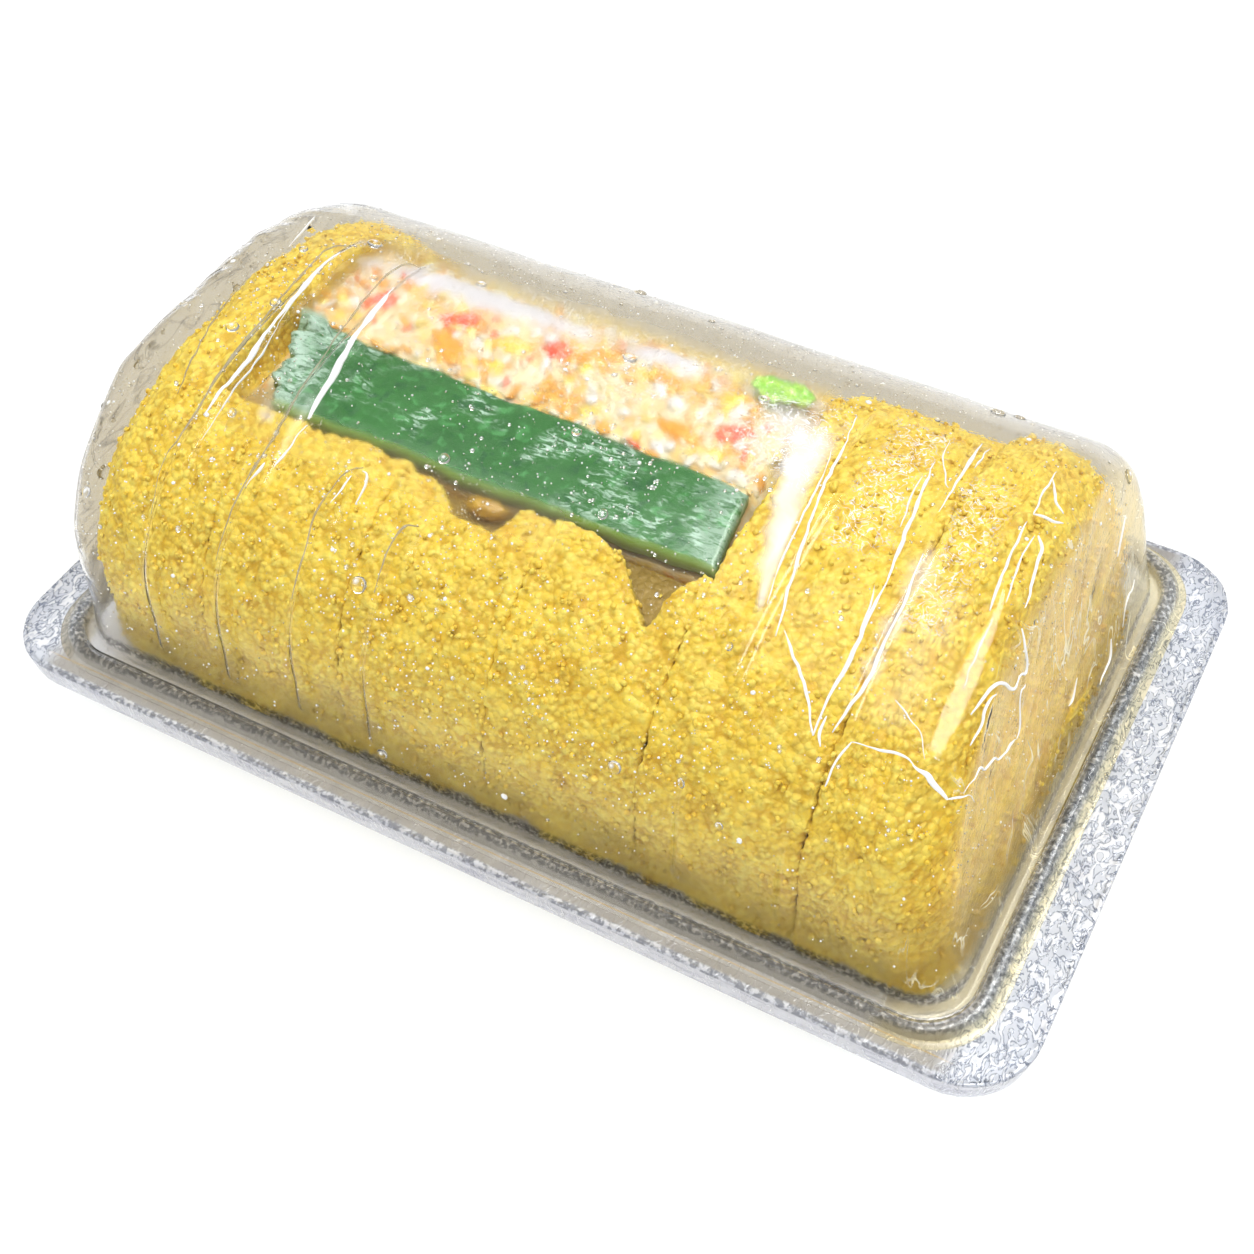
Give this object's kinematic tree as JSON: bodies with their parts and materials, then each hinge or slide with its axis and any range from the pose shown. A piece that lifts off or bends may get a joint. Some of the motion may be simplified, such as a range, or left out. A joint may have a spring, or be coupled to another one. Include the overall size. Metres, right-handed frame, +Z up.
{
  "type": "fried gimbap tray",
  "caption": "Shut clear takeaway pack: a shallow flanged tray and a ribbed arched lid over a row of crumbed fried gimbap pieces with filling and a green strip showing on top.",
  "frame": {"origin": "middle of the underside of the tray's floor", "axes": "+X along the row of pieces, +Y to the back, +Z up"},
  "size_m": [0.23, 0.142, 0.0648],
  "materials": {
    "clear_tray_plastic": "clear, glossy, hammered flange",
    "clear_lid_plastic": "clear thin glossy film, misted inside",
    "crumb_crust": "rough crumb coating",
    "rice_filling": "moist, soft",
    "green_skin": "satin, wet",
    "crab_stick": "moist",
    "crab_red": "moist",
    "carrot": "moist",
    "egg": "moist",
    "amber_pickle": "moist",
    "lettuce": "satin"
  },
  "bodies": {
    "root": {"tray": "clear_tray_plastic", "lid": "clear_lid_plastic", "roll_1": "crumb_crust", "roll_2": "crumb_crust", "roll_3": "crumb_crust", "roll_4": "crumb_crust", "roll_5": "crumb_crust", "roll_6": "crumb_crust", "filling": "rice_filling", "green_strip": "green_skin", "crab_stick_1": "crab_stick", "crab_stick_2": "crab_stick", "crab_flake_1": "crab_red", "crab_flake_2": "crab_red", "crab_flake_3": "crab_red", "crab_flake_4": "crab_red", "carrot_1": "carrot", "carrot_2": "carrot", "carrot_3": "carrot", "carrot_4": "carrot", "egg_1": "egg", "egg_2": "egg", "egg_3": "egg", "amber_bit": "amber_pickle", "lettuce_leaf": "lettuce"}
  },
  "joints": []
}
